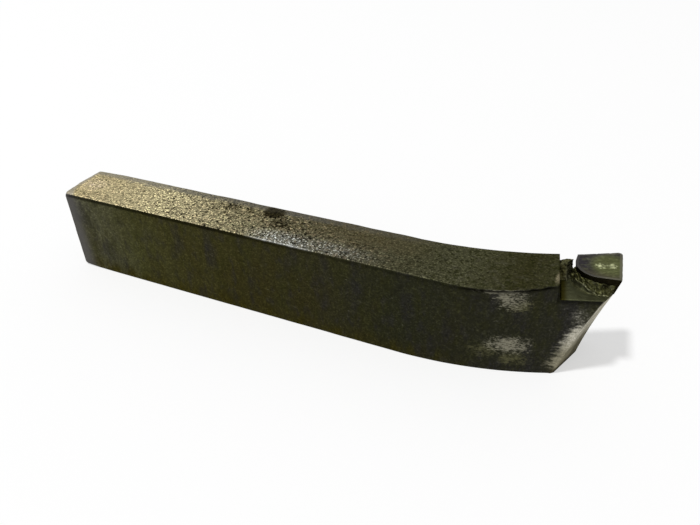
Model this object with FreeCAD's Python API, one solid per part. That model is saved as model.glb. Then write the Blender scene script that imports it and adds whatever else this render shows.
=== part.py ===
import FreeCAD, Part
import math
import os

from FreeCAD import Vector

# Brazed turning tool: a forged steel shank with a bent head, a hard-metal tip and the metal that brazes it in.
# Millimetres and degrees. X runs along the shank towards the nose, Y to the side the head bends to, Z up.
# The origin lies on the base, on the shank's centreline, in the middle of the clamped length.

# Shank
shank_height = 20.0
shank_width = 12.3
nose_from_rear = 119.1
head_length = 37.3
clamped_length = 80.0
rear_lean = 2.5
edge_radius = 0.35
rear_edge_radius = 0.8

# Bends of the head's sides: how far past the start of the head each begins, and its radius
near_base_delay = 0.0
near_base_radius = 80.0
near_seat_delay = 4.2
near_seat_radius = 45.0
near_top_delay = 9.7
near_top_radius = 27.0
far_delay = 1.3
far_top_radius = 72.3
far_seat_radius = 76.0
far_base_radius = 95.0
ledge_angle = 19.0

# Burr rolled over along the near top edge of the head
burr_thickness = 0.4
burr_delay = 0.5
burr_root = 1.0

# Tip
tip_thickness = 3.5
end_edge_length = 9.25
far_edge_length = 8.2
nose_corner = 70.2
near_side_turn = 18.0
tip_round_radius = 4.2
tip_inset = 0.3
end_clearance = 12.5
far_clearance = 6.0
side_relief = 9.0

# Pocket, and the nose that is ground back under the tip
seam_thickness = 0.1
wall_gap = 3.2
wall_turn = 3.1
wall_draft = 9.0
steel_extra_clearance = 1.5
bevel_run = 2.5
bevel_turn = 27.8
bevel_clearance = 14.4
corner_turn = 24.0
corner_clearance = 8.0
corner_bite = 0.5
wheel_radius = 120.0

# Brazing metal: its run round the tip is measured out from the outline of the tip's top face
fillet_width = 0.5
rear_fillet_width = -0.3
fillet_height = 2.2
fillet_feather = 0.1
lump_length = 3.3
lump_reach = 3.2
lump_height = 2.8
lump_taper = 0.7
film_length = 6.5

# Length of the plain stretch before the head's first bend, and how far cutting bodies run past what they cut
lead_in = 4.0
past = 6.0

rear_x = -clamped_length / 2
nose_x = rear_x + nose_from_rear
head_x = nose_x - head_length
block_end_x = nose_x + past
near_y = -shank_width / 2
far_y = shank_width / 2
seat_z = shank_height - tip_thickness - seam_thickness


def heading(angle):
    """Horizontal unit vector at an angle from +X."""
    return Vector(math.cos(math.radians(angle)), math.sin(math.radians(angle)), 0)


def at_height(point, z):
    """The point straight above or below, at a height."""
    return Vector(point.x, point.y, z)


def meet(p, p_angle, q, q_angle):
    """Where two plan lines cross, each given by a point and an angle."""
    u, v, gap = heading(p_angle), heading(q_angle), q - p
    along = (gap.x * v.y - gap.y * v.x) / (u.x * v.y - u.y * v.x)
    return p + u * along


def segment(a, b):
    return Part.LineSegment(a, b).toShape()


def prism(corners, z_low, z_high):
    """Straight-sided solid over a plan polygon."""
    ring = [at_height(corner, z_low) for corner in corners]
    return Part.Face(Part.makePolygon(ring + ring[:1])).extrude(Vector(0, 0, z_high - z_low))


class Bend:
    """One side of the shank in plan: straight from the rear, then an arc turning towards +Y."""

    def __init__(self, delay, radius, side_y):
        self.start_x = head_x + delay
        self.radius = radius
        self.side_y = side_y

    def point(self, x, z=0.0):
        run = x - self.start_x
        return Vector(x, self.side_y + self.radius - math.sqrt(self.radius ** 2 - run ** 2), z)

    def angle(self, x):
        return math.degrees(math.asin((x - self.start_x) / self.radius))

    def arc(self, x_from, x_to, z):
        ends = [self.point(x, z) for x in (x_from, (x_from + x_to) / 2, x_to)]
        return Part.Arc(*ends).toShape()


near_base = Bend(near_base_delay, near_base_radius, near_y)
near_seat = Bend(near_seat_delay, near_seat_radius, near_y)
near_top = Bend(near_top_delay, near_top_radius, near_y)
near_burr = Bend(near_top_delay + burr_delay, near_top_radius, near_y)
far_top = Bend(far_delay, far_top_radius, far_y)
far_seat = Bend(far_delay, far_seat_radius, far_y)
far_base = Bend(far_delay, far_base_radius, far_y)
far_tip = Bend(far_delay, far_top_radius + tip_inset, far_y - tip_inset)

# The tip's plan at its top face: its far edge is a chord of the far side, its end edge turns off at the nose
nose = far_tip.point(nose_x)
far_edge_angle = far_tip.angle(nose_x) - math.degrees(math.asin(far_edge_length / (2 * far_tip.radius)))
end_edge_angle = far_edge_angle + 180 + nose_corner
near_side_angle = far_edge_angle - near_side_turn
bevel_angle = end_edge_angle - 180 - bevel_turn
far_rear_corner = nose - heading(far_edge_angle) * far_edge_length
near_front_corner = nose + heading(end_edge_angle) * end_edge_length

# The pocket's wall stands behind the tip, from the far side to the near side
wall_angle = end_edge_angle - 180 + wall_turn
wall_far = far_top.point(far_rear_corner.x - wall_gap)
wall_near = meet(wall_far, wall_angle, near_seat.point(wall_far.x), ledge_angle)
wall_foot_shift = (shank_height - seat_z) * math.tan(math.radians(wall_draft))
ledge_start_x = wall_near.x + wall_foot_shift


def head_section(near, far, z):
    """Closed plan outline of the head at one height, running on past the nose."""
    start_x = head_x - lead_in
    near_turn = near.point(ledge_start_x, z)
    near_end = meet(near_turn, ledge_angle, Vector(block_end_x, near_y, z), 90)
    start_near, start_far = Vector(start_x, near_y, z), Vector(start_x, far_y, z)
    return Part.Wire([
        segment(start_near, near.point(near.start_x, z)),
        near.arc(near.start_x, near_turn.x, z),
        segment(near_turn, near_end),
        segment(near_end, far.point(block_end_x, z)),
        far.arc(block_end_x, far.start_x, z),
        segment(far.point(far.start_x, z), start_far),
        segment(start_far, start_near),
    ])


def straight_bar():
    """The straight shank, its rear end sawn off with a slight lean."""
    lean = shank_height * math.tan(math.radians(rear_lean)) / 2
    start_x = head_x - lead_in
    side = [(rear_x - lean, 0), (start_x, 0), (start_x, shank_height), (rear_x + lean, shank_height)]
    ring = [Vector(x, near_y, z) for x, z in side]
    return Part.Face(Part.makePolygon(ring + ring[:1])).extrude(Vector(0, shank_width, 0))


def flank_drop(clearance, fall):
    """How far a leaning face moves sideways over a height."""
    return fall * math.tan(math.radians(clearance))


def pocket_room():
    """What the open pocket takes out of the head, above its floor and in front of its leaning wall."""
    out = heading(wall_angle - 90)
    start = wall_near - heading(wall_angle) * past
    top_z = shank_height + past
    foot = at_height(start, seat_z) + out * wall_foot_shift
    rim = at_height(start, top_z) - out * flank_drop(wall_draft, past)
    reach = out * (head_length + past)
    ring = [foot, rim, at_height(start, top_z) + reach, at_height(start, seat_z) + reach]
    across = wall_far - wall_near + heading(wall_angle) * 2 * past
    return Part.Face(Part.makePolygon(ring + ring[:1])).extrude(across)


def flat_flank(point, angle, clearance):
    """Cutting body whose flat face falls away under a top edge, outwards being to the right of its angle."""
    along, out = heading(angle), heading(angle - 90)
    reach = end_edge_length + past
    high, low = shank_height + past, -past
    corners = []
    for z, far_out in ((low, False), (high, False), (high, True), (low, True)):
        inward = flank_drop(clearance, shank_height - z)
        offset = reach if far_out else -inward
        corners.append(at_height(point, z) + out * offset - along * 2 * reach)
    return Part.Face(Part.makePolygon(corners + corners[:1])).extrude(along * 4 * reach)


def wheel_flank(point, angle, clearance):
    """Cutting body left by a wheel's rim: the same flank below the pocket's floor, hollowed by its radius."""
    along, out = heading(angle), heading(angle - 90)
    top = at_height(point, seat_z)
    foot = at_height(point, 0) - out * flank_drop(clearance, seat_z)
    chord = top - foot
    outward = along.cross(chord).normalize()
    if outward.dot(out) < 0:
        outward = outward * -1
    centre = (top + foot) / 2 + outward * math.sqrt(wheel_radius ** 2 - (chord.Length / 2) ** 2)
    return Part.makeCylinder(wheel_radius, 4 * wheel_radius, centre - along * 2 * wheel_radius, along)


def end_flank():
    """Clearance ground under the tip's end edge."""
    return flat_flank(near_front_corner, end_edge_angle + 180, end_clearance)


def far_flank():
    """Clearance ground under the tip's far edge."""
    return flat_flank(nose, far_edge_angle + 180, far_clearance)


def seat_end_point():
    """Where the end flank crosses the pocket's floor, under the tip's near front corner."""
    inward = flank_drop(end_clearance, shank_height - seat_z)
    return near_front_corner - heading(end_edge_angle + 90) * inward


def steel_end_flank():
    """The steel below the tip's end, ground back a little more than the tip."""
    return wheel_flank(seat_end_point(), end_edge_angle + 180, end_clearance + steel_extra_clearance)


def bevel_start():
    """Where the bevel meets the end flank at the pocket's floor."""
    corner = meet(near_seat.point(ledge_start_x), ledge_angle, seat_end_point(), end_edge_angle)
    return corner - heading(end_edge_angle) * bevel_run


def bevel_flank():
    """The near corner of the nose, ground off at a turn from the end flank."""
    return wheel_flank(bevel_start(), bevel_angle, bevel_clearance)


def corner_flank():
    """The edge that the bevel leaves on the near face, knocked off over its lower half."""
    angle = bevel_angle - corner_turn
    out = heading(angle - 90)
    bevel_foot = bevel_start() - heading(bevel_angle - 90) * flank_drop(bevel_clearance, seat_z)
    sharp = meet(near_base.point(ledge_start_x), ledge_angle, bevel_foot, bevel_angle)
    at_base = sharp - out * corner_bite
    return flat_flank(at_base + out * flank_drop(corner_clearance, shank_height), angle, corner_clearance)


def burr():
    """Thin lip along the head's near top edge, from the start of its bend to the pocket's wall."""
    z = shank_height - burr_thickness
    outer = [near_burr.point(near_burr.start_x, z), near_burr.point(wall_near.x, z)]
    inner = [point + Vector(0, burr_root, 0) for point in outer]
    outline = Part.Wire([
        near_burr.arc(outer[0].x, outer[1].x, z),
        segment(outer[1], inner[1]),
        segment(inner[1], inner[0]),
        segment(inner[0], outer[0]),
    ])
    return Part.Face(outline).extrude(Vector(0, 0, burr_thickness))


def rear_edges(body):
    """The four edges round the sawn rear end."""
    return [edge for edge in body.Edges if edge.BoundBox.XMax < rear_x + lead_in]


def long_edges(body):
    """The edges along the base and the top, on both sides, from the rear to past the nose."""
    chosen = []
    for edge in body.Edges:
        box = edge.BoundBox
        level = box.ZMax < edge_radius or box.ZMin > shank_height - edge_radius
        if level and box.XLength > lead_in / 2 and box.XLength > box.YLength:
            chosen.append(edge)
    return chosen


def tool_shank():
    """The forging: straight bar, bent head, ground nose, rolled burr and milled pocket."""
    sections = [
        head_section(near_base, far_base, 0),
        head_section(near_seat, far_seat, seat_z),
        head_section(near_top, far_top, shank_height),
    ]
    head = Part.makeLoft(sections, True, True)
    body = straight_bar().fuse(head).removeSplitter()
    body = body.makeFillet(rear_edge_radius, rear_edges(body))
    body = body.makeFillet(edge_radius, long_edges(body))
    body = body.cut(steel_end_flank()).cut(bevel_flank()).cut(corner_flank())
    return body.fuse(burr()).cut(pocket_room()).removeSplitter()


def tip_outline(z, grow, rear_grow):
    """Plan outline of the tip, its near and rear sides moved out by a distance and its round corner with them."""
    near_side = near_front_corner + heading(near_side_angle - 90) * grow
    rear_side = far_rear_corner + heading(end_edge_angle - 90) * rear_grow
    front = meet(near_side, near_side_angle, nose, end_edge_angle)
    rear = meet(rear_side, end_edge_angle, nose, far_edge_angle)
    corner = meet(near_side, near_side_angle, rear_side, end_edge_angle)
    radius = tip_round_radius + grow
    half = math.radians(end_edge_angle - 180 - near_side_angle) / 2
    tangent = radius / math.tan(half)
    arc_near = corner + heading(near_side_angle) * tangent
    arc_rear = corner - heading(end_edge_angle) * tangent
    to_centre = (arc_near + arc_rear) / 2 - corner
    middle = corner + to_centre.normalize() * (radius / math.sin(half) - radius)
    nose_z, front, arc_near, middle, arc_rear, rear = [
        at_height(point, z) for point in (nose, front, arc_near, middle, arc_rear, rear)
    ]
    return Part.Wire([
        segment(nose_z, front),
        segment(front, arc_near),
        Part.Arc(arc_near, middle, arc_rear).toShape(),
        segment(arc_rear, rear),
        segment(rear, nose_z),
    ])


def relieved_outline(z, grow=0.0):
    """The tip's outline at a height, drawn in by the relief of its near and rear sides."""
    inward = flank_drop(side_relief, shank_height - z)
    return tip_outline(z, grow - inward, grow - inward)


def carbide_tip():
    """The hard-metal plate, its end and far edges ground back to their clearance angles."""
    blank = Part.makeLoft([relieved_outline(seat_z + seam_thickness), relieved_outline(shank_height)], True, True)
    return blank.cut(end_flank()).cut(far_flank())


def corner_lump():
    """Metal left standing in the far rear corner of the pocket, against its wall."""
    along, out = heading(wall_angle + 180), heading(wall_angle - 90)
    rings = []
    for z, shrink in ((seat_z, 0.0), (seat_z + lump_height, lump_taper)):
        back_far = wall_far + along * (tip_inset + shrink)
        back_near = wall_far + along * (tip_inset + lump_length - shrink)
        front_far = back_far + out * (lump_reach - shrink)
        front_near = back_near + out * (lump_reach - shrink) / 2
        rings.append(Part.makePolygon([
            at_height(point, z) for point in (back_far, back_near, front_near, front_far, back_far)
        ]))
    return Part.makeLoft(rings, True, True)


def floor_film():
    """The thin layer that lies on the pocket's floor, from its wall to under the whole tip."""
    foot = wall_far + heading(wall_angle - 90) * wall_foot_shift
    far_foot = foot - heading(wall_angle) * tip_inset
    near_foot = foot - heading(wall_angle) * film_length
    return prism([far_foot, near_foot, near_front_corner, nose, far_rear_corner], seat_z, seat_z + seam_thickness)


def braze_filler():
    """The brazing metal as one piece: the run round the tip, the lump in the corner and the film below."""
    run =Part.makeLoft([tip_outline(seat_z, fillet_width, rear_fillet_width),
                         relieved_outline(seat_z + fillet_height, fillet_feather)], True, True)
    body = run.fuse(corner_lump()).fuse(floor_film()).cut(carbide_tip()).common(pocket_room())
    body = body.cut(end_flank()).cut(far_flank()).cut(bevel_flank())
    return body.removeSplitter()


def main():
    os.makedirs("parts", exist_ok=True)
    for name, make in (
        ("tool_shank", tool_shank), ("carbide_tip", carbide_tip), ("braze_filler", braze_filler),
    ):
        shape = make()
        if len(shape.Solids) != 1 or not shape.isValid():
            print(name, "solids", len(shape.Solids), "valid", shape.isValid())
        box = shape.optimalBoundingBox(False)
        print(f"{name}: {shape.Volume:.1f} mm3, x {box.XMin:.2f} {box.XMax:.2f},"
              f" y {box.YMin:.2f} {box.YMax:.2f}, z {box.ZMin:.2f} {box.ZMax:.2f}")
        shape.exportStep(f"parts/{name}.step")


main()
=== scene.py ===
"""Brazed turning tool: a forged steel shank with a bent head, a hard-metal tip, and its brazing metal.

Lengths are in millimetres until a mesh is made. X runs along the shank to the nose, Y to the side that the
head bends to, and Z up. Each shape is a function worked out for a whole grid of points at once.
"""

import math

import bpy
import numpy as np
from mathutils import Matrix, Vector


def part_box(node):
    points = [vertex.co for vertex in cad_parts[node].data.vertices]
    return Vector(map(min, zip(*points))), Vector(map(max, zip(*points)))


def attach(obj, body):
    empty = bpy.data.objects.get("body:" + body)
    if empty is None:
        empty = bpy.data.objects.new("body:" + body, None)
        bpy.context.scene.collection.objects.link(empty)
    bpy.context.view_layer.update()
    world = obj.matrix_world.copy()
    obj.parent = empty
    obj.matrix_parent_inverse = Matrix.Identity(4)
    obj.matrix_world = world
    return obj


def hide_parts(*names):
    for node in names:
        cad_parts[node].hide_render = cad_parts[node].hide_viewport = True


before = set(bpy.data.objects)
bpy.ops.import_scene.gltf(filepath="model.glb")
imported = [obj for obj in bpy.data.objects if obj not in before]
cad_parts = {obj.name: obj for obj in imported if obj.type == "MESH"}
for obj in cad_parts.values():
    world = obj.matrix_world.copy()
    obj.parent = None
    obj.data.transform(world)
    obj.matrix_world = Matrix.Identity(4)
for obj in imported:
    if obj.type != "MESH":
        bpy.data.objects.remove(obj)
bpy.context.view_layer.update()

MM = 0.001

# Sizes read from the frame
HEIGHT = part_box("tool_shank")[1].z / MM
SEAT_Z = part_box("braze_filler")[0].z / MM
TIP_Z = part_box("carbide_tip")[0].z / MM
MIDDLE_Z = HEIGHT / 2

# Shank. Each side bends on three arcs, at the base, the pocket's floor and the top: start and radius of each
WIDTH = 12.3
REAR_X = -40.45
REAR_LEAN = 0.6
HEAD_X = 41.8
NOSE_X = 79.1
NEAR_SIDE = ((0.0, 80.0), (4.2, 45.0), (9.7, 27.0))
FAR_SIDE = ((1.3, 95.0), (1.3, 76.0), (1.3, 72.3))
LEDGE_ANGLE = 19.0
LIP_DEPTH = 0.36
LIP_DELAY = 0.5

# Tip
TIP_INSET = 0.3
TIP_END_TURN = 1.4
TIP_REAR_TURN = 8.0
TIP_REAR_OUT = 0.12
FAR_EDGE_LENGTH = 8.2
END_EDGE_LENGTH = 9.25
NOSE_CORNER = 70.2
NEAR_TURN = 18.0
TIP_ROUND = 4.2
NOSE_BROKEN = 0.45
TIP_RELIEF = 9.0
END_CLEARANCE = 12.5
FAR_CLEARANCE = 6.0

# Pocket and ground nose
WALL_GAP = 3.2
WALL_TURN = 3.1
WALL_DRAFT = 9.0
STEEL_CLEARANCE = 14.0
BEVEL_RUN = 2.5
BEVEL_TURN = 27.8
BEVEL_CLEARANCE = 14.4
CORNER_TURN = 24.0
CORNER_CLEARANCE = 8.0
CORNER_BITE = 0.2
WHEEL_RADIUS = 120.0


def smooth(value, low, high):
    """0 below low, 1 above high, and a smooth step between."""
    t = np.clip((value - low) / (high - low), 0.0, 1.0)
    return t * t * (3.0 - 2.0 * t)


def slope(angle):
    return math.tan(math.radians(angle))


def heading(angle):
    """Unit vector in plan at an angle from +X."""
    return np.array([math.cos(math.radians(angle)), math.sin(math.radians(angle))])


def meet(p, p_angle, q, q_angle):
    """Where two plan lines cross. The points may be whole arrays."""
    u, v, gap = heading(p_angle), heading(q_angle), q - p
    along = (gap[..., 0] * v[1] - gap[..., 1] * v[0]) / (u[0] * v[1] - u[1] * v[0])
    return p + along[..., None] * u


def waves(points, length, seed, count=28):
    """Smooth random bumps of about unit height: a sum of cosines whose wavelengths lie round one length."""
    random = np.random.default_rng(seed)
    turns = random.normal(size=(points.shape[-1], count))
    turns *= random.uniform(0.7, 1.4, count) * 2.0 * math.pi / length / np.linalg.norm(turns, axis=0)
    phases = random.uniform(0.0, 2.0 * math.pi, count)
    return np.cos(points @ turns + phases).sum(axis=-1) * math.sqrt(2.0 / count)


def graded(length, step, head=(), tail=()):
    """Positions from 0 to a length about a step apart, with chosen closer ones at the two ends."""
    first, last = (head[-1] if len(head) else 0.0), (tail[-1] if len(tail) else 0.0)
    count = max(2, int(round((length - first - last) / step)) + 1)
    middle = np.linspace(first, length - last, count)
    return np.unique(np.concatenate([head, middle, length - np.array(tail, float)]).round(6))


# Plan of the sides
def bend(x, delay, radius, side_y):
    """One side's line: straight, then an arc that turns towards +Y."""
    run = np.clip(x - HEAD_X - delay, 0.0, 0.99 * radius)
    return side_y + radius - np.sqrt(radius**2 - run**2)


def between_levels(z, base, seat, top):
    """Ruled side: straight up from the base's line to the pocket floor's, and on to the top's."""
    low, high = z / SEAT_Z, (z - SEAT_Z) / (HEIGHT - SEAT_Z)
    return np.where(z < SEAT_Z, base + (seat - base) * low, seat + (top - seat) * high)


def far_y(x, z):
    return between_levels(z, *(bend(x, delay, radius, WIDTH / 2) for delay, radius in FAR_SIDE))


def near_y(x, z):
    """The near side leaves its arc at the pocket's wall and runs on straight."""
    turned = np.minimum(x, ledge_x)
    straight = (x - turned) * slope(LEDGE_ANGLE)
    lines = (bend(turned, delay, radius, -WIDTH / 2) + straight for delay, radius in NEAR_SIDE)
    return between_levels(z, *lines)


# Plan of the tip and the pocket, worked out from the nose backwards
tip_side_radius = FAR_SIDE[2][1] + TIP_INSET
nose = np.array([NOSE_X, bend(NOSE_X, FAR_SIDE[2][0], tip_side_radius, WIDTH / 2 - TIP_INSET)])
side_turn = math.degrees(math.asin((NOSE_X - HEAD_X - FAR_SIDE[2][0]) / tip_side_radius))
far_edge = side_turn - math.degrees(math.asin(FAR_EDGE_LENGTH / (2 * tip_side_radius)))
end_edge = far_edge + NOSE_CORNER
near_edge = far_edge - NEAR_TURN
bevel_angle = end_edge - BEVEL_TURN
corner_angle = bevel_angle - CORNER_TURN
far_rear = nose - heading(far_edge) * FAR_EDGE_LENGTH
near_front = nose - heading(end_edge) * END_EDGE_LENGTH

wall_angle = end_edge + WALL_TURN
wall_out = heading(wall_angle - 90)
wall_far_x = far_rear[0] - WALL_GAP
wall_far = np.array([wall_far_x, bend(wall_far_x, *FAR_SIDE[2], WIDTH / 2)])
ledge_start = np.array([wall_far_x, bend(wall_far_x, *NEAR_SIDE[1], -WIDTH / 2)])
wall_near = meet(wall_far, wall_angle, ledge_start, LEDGE_ANGLE)
wall_shift = (HEIGHT - SEAT_Z) * slope(WALL_DRAFT)
ledge_x = wall_near[0] + wall_shift


def ground_back(z, clearance):
    """How far a wheel-ground face lies behind its edge at the pocket floor: a lean, hollowed by the wheel."""
    depth = (SEAT_Z - z) / SEAT_Z
    chord = SEAT_Z / math.cos(math.radians(clearance))
    hollow = chord**2 * depth * (1.0 - depth) / (2.0 * WHEEL_RADIUS)
    return (SEAT_Z - z) * slope(clearance) + hollow


seat_end = near_front - heading(end_edge - 90) * (HEIGHT - SEAT_Z) * slope(END_CLEARANCE)
ledge_point = np.array([ledge_x, near_y(ledge_x, SEAT_Z)])
bevel_start = meet(ledge_point, LEDGE_ANGLE, seat_end, end_edge) + heading(end_edge) * BEVEL_RUN
bevel_foot = bevel_start - heading(bevel_angle - 90) * SEAT_Z * slope(BEVEL_CLEARANCE)
base_point = np.array([ledge_x, near_y(ledge_x, 0.0)])
corner_start = meet(base_point, LEDGE_ANGLE, bevel_foot, bevel_angle)
corner_foot = corner_start - heading(corner_angle - 90) * CORNER_BITE


def end_line(z):
    """A point of the steel's end face at each height."""
    return seat_end - heading(end_edge - 90) * ground_back(z, STEEL_CLEARANCE)[..., None]


def bevel_line(z):
    return bevel_start - heading(bevel_angle - 90) * ground_back(z, BEVEL_CLEARANCE)[..., None]


def corner_line(z):
    return corner_foot + heading(corner_angle - 90) * (z * slope(CORNER_CLEARANCE))[..., None]


GROUND_FACES = ((end_line, end_edge), (bevel_line, bevel_angle), (corner_line, corner_angle))


def nose_x(y, z):
    """Where the ground nose ends at each y and z: the lowest of its three faces."""
    ends = []
    for line, angle in GROUND_FACES:
        point = line(z)
        ends.append(point[..., 0] + (y - point[..., 1]) / slope(angle))
    return np.minimum.reduce(ends)


def share_across(point, z):
    """A plan point's place between the near side, 0, and the far side, 1."""
    near, far = near_y(point[..., 0], z), far_y(point[..., 0], z)
    return (point[..., 1] - near) / (far - near)


def lattice_shell(counts):
    """Outside of a block of lattice points: each point's three indices, and quads that face outwards."""
    quads = []
    for axis in range(3):
        first, second = (axis + 1) % 3, (axis + 2) % 3
        u, v = np.meshgrid(np.arange(counts[first] - 1), np.arange(counts[second] - 1), indexing="ij")
        for end in (0, counts[axis] - 1):
            steps = ((0, 0), (1, 0), (1, 1), (0, 1)) if end else ((0, 1), (1, 1), (1, 0), (0, 0))
            corners = np.zeros(u.shape + (4, 3), int)
            corners[..., axis] = end
            for corner, (du, dv) in enumerate(steps):
                corners[..., corner, first] = u + du
                corners[..., corner, second] = v + dv
            quads.append(corners.reshape(-1, 4, 3))
    flat = np.ravel_multi_index(np.concatenate(quads).reshape(-1, 3).T, counts)
    kept, place = np.unique(flat, return_inverse=True)
    return np.array(np.unravel_index(kept, counts)).T, place.reshape(-1, 4)


def ring_shell(rings):
    """Closed surface over rings of points, its two ends closed by fans to the middle of the end rings."""
    count, around = rings.shape[:2]
    i, j = np.meshgrid(np.arange(count - 1), np.arange(around), indexing="ij")
    after = (j + 1) % around
    quads = np.stack([i * around + j, i * around + after, (i + 1) * around + after, (i + 1) * around + j], -1)
    j = np.arange(around)
    last = (count - 1) * around
    bottom, top = count * around, count * around + 1
    fans = [np.stack([(j + 1) % around, j, np.full(around, bottom)], -1),
            np.stack([last + j, last + (j + 1) % around, np.full(around, top)], -1)]
    points = np.concatenate([rings.reshape(-1, 3), rings[:1].mean(axis=1), rings[-1:].mean(axis=1)])
    return points, [quads.reshape(-1, 4), *fans]


def corner_normals(points, faces):
    """Unit normal at each point: the sum of the normals of the faces round it."""
    total = np.zeros_like(points)
    for group in faces:
        first = points[group[:, 2]] - points[group[:, 0]]
        second = points[group[:, -1]] - points[group[:, 1]]
        across = np.cross(first, second)
        for column in range(group.shape[1]):
            np.add.at(total, group[:, column], across)
    return total / np.maximum(np.linalg.norm(total, axis=1, keepdims=True), 1e-12)


def facing_out(points, faces):
    """The same faces, all turned round if they enclose a negative volume."""
    volume = 0.0
    for group in faces:
        for k in range(1, group.shape[1] - 1):
            a, b, c = points[group[:, 0]], points[group[:, k]], points[group[:, k + 1]]
            volume += np.einsum("ij,ij->", a, np.cross(b, c))
    return faces if volume > 0 else [group[:, ::-1] for group in faces]


def joined(*shells):
    """Several closed shells as one set of points and faces."""
    points, faces, start = [], [], 0
    for shell_points, shell_faces in shells:
        points.append(shell_points)
        faces += [group + start for group in shell_faces]
        start += len(shell_points)
    return np.concatenate(points), faces


def make_piece(name, points, faces, material, marks):
    """Mesh object at the origin from points in millimetres, with its marks as attributes of the points."""
    mesh = bpy.data.meshes.new(name)
    sizes = np.concatenate([np.full(len(group), group.shape[1]) for group in faces])
    corners = np.concatenate([group.ravel() for group in faces])
    mesh.vertices.add(len(points))
    mesh.vertices.foreach_set("co", (points * MM).astype(np.float32).ravel())
    mesh.loops.add(len(corners))
    mesh.loops.foreach_set("vertex_index", corners.astype(np.int32))
    mesh.polygons.add(len(sizes))
    mesh.polygons.foreach_set("loop_start", np.concatenate([[0], np.cumsum(sizes)[:-1]]).astype(np.int32))
    mesh.polygons.foreach_set("use_smooth", np.ones(len(sizes), bool))
    mesh.update(calc_edges=True)
    for mark, values in marks.items():
        mesh.attributes.new(mark, "FLOAT", "POINT").data.foreach_set("value", values.astype(np.float32))
    mesh.materials.append(material)
    piece = bpy.data.objects.new(name, mesh)
    bpy.context.scene.collection.objects.link(piece)
    return piece


# Shank
skew = 1.0 / slope(wall_angle)
rim_along = wall_near[0] - skew * wall_near[1] - REAR_X
foot_along = rim_along + wall_shift / wall_out[0]
end_along = foot_along + 10.0
SKEW_START = 55.0
LEAN_REACH = 40.0
BEVEL_COLUMN, END_COLUMN = 0.2, 0.5
EDGE_STEPS = (0.0, 0.07, 0.14, 0.21, 0.28, 0.35, 0.5, 0.75)
REAR_STEPS = (0.0, 0.13, 0.27, 0.4, 0.53, 0.67, 0.8, 1.1)
LIP_STEPS = (0.0, 0.06, 0.12, 0.18, 0.24, 0.3, 0.34, 0.38, 0.42, 0.46, 0.52, 0.6, 0.75, 0.95)
EDGE_ROUND = 0.28
BASE_ROUND = 0.15
REAR_ROUND = 1.2
REAR_BULGE = 0.5
LIP_ROUND = 0.12
RIM_ROUND = 0.1


def stations():
    """Distance along and height of the top at each station: bar, rim, pocket wall, pocket floor."""
    bar = graded(rim_along - RIM_ROUND, 0.42, head=REAR_STEPS, tail=(0.0, 0.12, 0.26))
    turn = np.radians([30.0, 60.0, 90.0])
    rim = rim_along - RIM_ROUND * (1.0 - np.sin(turn))
    rim_top = HEIGHT - RIM_ROUND * (1.0 - np.cos(turn))
    depth = graded(HEIGHT - SEAT_Z - RIM_ROUND, 0.26, tail=(0.0, 0.05, 0.12))[1:]
    wall = rim_along + depth / (HEIGHT - SEAT_Z - RIM_ROUND) * (foot_along - rim_along)
    floor = graded(end_along - foot_along, 0.22, head=(0.0, 0.08), tail=(0.0, 0.06, 0.14, 0.26))
    floor = foot_along + floor[1:]
    along = np.concatenate([bar, rim, wall, floor])
    top = np.concatenate([np.full(len(bar), HEIGHT), rim_top, HEIGHT - RIM_ROUND - depth,
                          np.full(len(floor), SEAT_Z)])
    return along, top


def shank_columns():
    """Shares across the shank, close together at its edges, one on each edge of the bevel."""
    edge = np.array(EDGE_STEPS) / WIDTH
    middle = [np.linspace(edge[-1], BEVEL_COLUMN, 7), np.linspace(BEVEL_COLUMN, END_COLUMN, 13),
              np.linspace(END_COLUMN, 1.0 - edge[-1], 17)]
    return np.unique(np.concatenate([edge, *middle, 1.0 - edge]).round(9))


def rounded(along, across, up, top):
    """The block with round edges: what lies past the block shrunk by a radius goes from square to ball."""
    at = np.stack([along, across, up], -1)
    upper = EDGE_ROUND + (LIP_ROUND - EDGE_ROUND) * smooth(along, HEAD_X - REAR_X, 60.0 - REAR_X)
    radius = np.where(up > top / 2, upper, BASE_ROUND)
    radius = radius * np.clip(1.0 + 0.12 * waves(at, 6.0, 11), 0.5, 1.6)
    radius = radius + (REAR_ROUND - EDGE_ROUND) * np.exp(-along / 3.0)
    inner = np.stack([np.maximum(along, radius), np.clip(across, radius, WIDTH - radius),
                      np.clip(up, radius, top - radius)], -1)
    reach = at - inner
    square = np.abs(reach).max(axis=-1)
    return inner + reach * (square / np.maximum(np.linalg.norm(reach, axis=-1), 1e-9))[..., None]


def nose_share(share, z, nearness):
    """Columns drawn over to the edges between the nose's ground faces as the stations near the end."""
    bevel_edge = share_across(meet(corner_line(z), corner_angle, bevel_line(z), bevel_angle), z)
    end_edge_share = share_across(meet(bevel_line(z), bevel_angle, end_line(z), end_edge), z)
    first = np.clip(bevel_edge, 0.03, 0.9)
    second = np.clip(end_edge_share, first + 0.05, 0.97)
    drawn = np.where(share < BEVEL_COLUMN, first * share / BEVEL_COLUMN,
                     first + (second - first) * (share - BEVEL_COLUMN) / (END_COLUMN - BEVEL_COLUMN))
    beyond = second + (1 - second) * (share - END_COLUMN) / (1 - END_COLUMN)
    drawn = np.where(share > END_COLUMN, beyond, drawn)
    return share + (drawn - share) * nearness


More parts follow.
